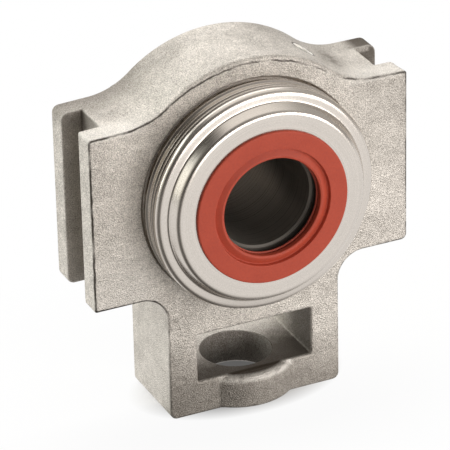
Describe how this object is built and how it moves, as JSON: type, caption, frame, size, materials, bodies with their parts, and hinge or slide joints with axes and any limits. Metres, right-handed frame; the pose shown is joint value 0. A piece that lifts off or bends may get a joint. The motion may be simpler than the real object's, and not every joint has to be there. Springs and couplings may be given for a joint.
{
  "type": "take-up bearing unit",
  "caption": "Cast stainless take-up housing with two guide slots and a screw lug, holding a self-aligning ball bearing under an open sealed cover and a closed cover.",
  "frame": {"origin": "centre of the balls, on the shaft axis", "axes": "+Z along the rails and away from the adjusting screw, +Y along the shaft towards the closed rear cover, +X to the right seen from the open front"},
  "size_m": [0.1026, 0.0561, 0.1134],
  "materials": {
    "cast_stainless": "shot-blasted investment casting, fine grain",
    "pressed_stainless": "satin pressed sheet",
    "red_silicone": "matte moulded silicone",
    "bearing_steel": "ground",
    "ball_steel": "polished",
    "cage_steel": "pressed sheet",
    "screw_steel": "turned",
    "plug_steel": "turned",
    "black_rubber": "moulded nitrile"
  },
  "bodies": {
    "frame": {"housing": "cast_stainless", "grease_plug": "plug_steel", "front_cover": "pressed_stainless", "shaft_seal": "red_silicone", "rear_cover": "pressed_stainless"},
    "outer_race": {"outer_ring": "bearing_steel", "shield_front": "cage_steel", "shield_rear": "cage_steel", "bearing_seal_front": "black_rubber", "bearing_seal_rear": "black_rubber"},
    "inner_race": {"inner_ring": "bearing_steel", "flinger_front": "cage_steel", "flinger_rear": "cage_steel"},
    "cage": {"cage_half_front": "cage_steel", "cage_half_rear": "cage_steel", "cage_rivets": "cage_steel"},
    "ball_1": {"ball_1": "ball_steel"},
    "ball_2": {"ball_2": "ball_steel"},
    "ball_3": {"ball_3": "ball_steel"},
    "ball_4": {"ball_4": "ball_steel"},
    "ball_5": {"ball_5": "ball_steel"},
    "ball_6": {"ball_6": "ball_steel"},
    "ball_7": {"ball_7": "ball_steel"},
    "ball_8": {"ball_8": "ball_steel"},
    "ball_9": {"ball_9": "ball_steel"},
    "set_screw_1": {"set_screw_1": "screw_steel"},
    "set_screw_2": {"set_screw_2": "screw_steel"}
  },
  "joints": [
    {"name": "align_tilt", "type": "hinge", "parent": "frame", "child": "outer_race", "pos_m": [0, 0, 0], "axis": [1, 0, 0], "range_deg": [-2, 2]},
    {"name": "shaft_spin", "type": "hinge", "parent": "outer_race", "child": "inner_race", "pos_m": [0, 0, 0], "axis": [0, 1, 0], "continuous": true},
    {"name": "cage_spin", "type": "hinge", "parent": "outer_race", "child": "cage", "pos_m": [0, 0, 0], "axis": [0, 1, 0], "continuous": true},
    {"name": "ball_1_spin", "type": "hinge", "parent": "cage", "child": "ball_1", "pos_m": [0.023, 0, 0], "axis": [0, 1, 0], "continuous": true},
    {"name": "ball_2_spin", "type": "hinge", "parent": "cage", "child": "ball_2", "pos_m": [0.01762, 0, 0.01478], "axis": [0, 1, 0], "continuous": true},
    {"name": "ball_3_spin", "type": "hinge", "parent": "cage", "child": "ball_3", "pos_m": [0.00399, 0, 0.02265], "axis": [0, 1, 0], "continuous": true},
    {"name": "ball_4_spin", "type": "hinge", "parent": "cage", "child": "ball_4", "pos_m": [-0.0115, 0, 0.01992], "axis": [0, 1, 0], "continuous": true},
    {"name": "ball_5_spin", "type": "hinge", "parent": "cage", "child": "ball_5", "pos_m": [-0.02161, 0, 0.00787], "axis": [0, 1, 0], "continuous": true},
    {"name": "ball_6_spin", "type": "hinge", "parent": "cage", "child": "ball_6", "pos_m": [-0.02161, 0, -0.00787], "axis": [0, 1, 0], "continuous": true},
    {"name": "ball_7_spin", "type": "hinge", "parent": "cage", "child": "ball_7", "pos_m": [-0.0115, 0, -0.01992], "axis": [0, 1, 0], "continuous": true},
    {"name": "ball_8_spin", "type": "hinge", "parent": "cage", "child": "ball_8", "pos_m": [0.00399, 0, -0.02265], "axis": [0, 1, 0], "continuous": true},
    {"name": "ball_9_spin", "type": "hinge", "parent": "cage", "child": "ball_9", "pos_m": [0.01762, 0, -0.01478], "axis": [0, 1, 0], "continuous": true},
    {"name": "set_screw_1_travel", "type": "slide", "parent": "inner_race", "child": "set_screw_1", "axis": [0, 0, 1], "range_m": [-0.0012, 0.0015]},
    {"name": "set_screw_2_travel", "type": "slide", "parent": "inner_race", "child": "set_screw_2", "axis": [-0.866, 0, -0.5], "range_m": [-0.0012, 0.0015]}
  ],
  "couplings": [
    {"joint": "cage_spin", "follows": "shaft_spin", "ratio": 0.39647},
    {"joint": "ball_1_spin", "follows": "shaft_spin", "ratio": -2.3112},
    {"joint": "ball_2_spin", "follows": "shaft_spin", "ratio": -2.3112},
    {"joint": "ball_3_spin", "follows": "shaft_spin", "ratio": -2.3112},
    {"joint": "ball_4_spin", "follows": "shaft_spin", "ratio": -2.3112},
    {"joint": "ball_5_spin", "follows": "shaft_spin", "ratio": -2.3112},
    {"joint": "ball_6_spin", "follows": "shaft_spin", "ratio": -2.3112},
    {"joint": "ball_7_spin", "follows": "shaft_spin", "ratio": -2.3112},
    {"joint": "ball_8_spin", "follows": "shaft_spin", "ratio": -2.3112},
    {"joint": "ball_9_spin", "follows": "shaft_spin", "ratio": -2.3112}
  ]
}
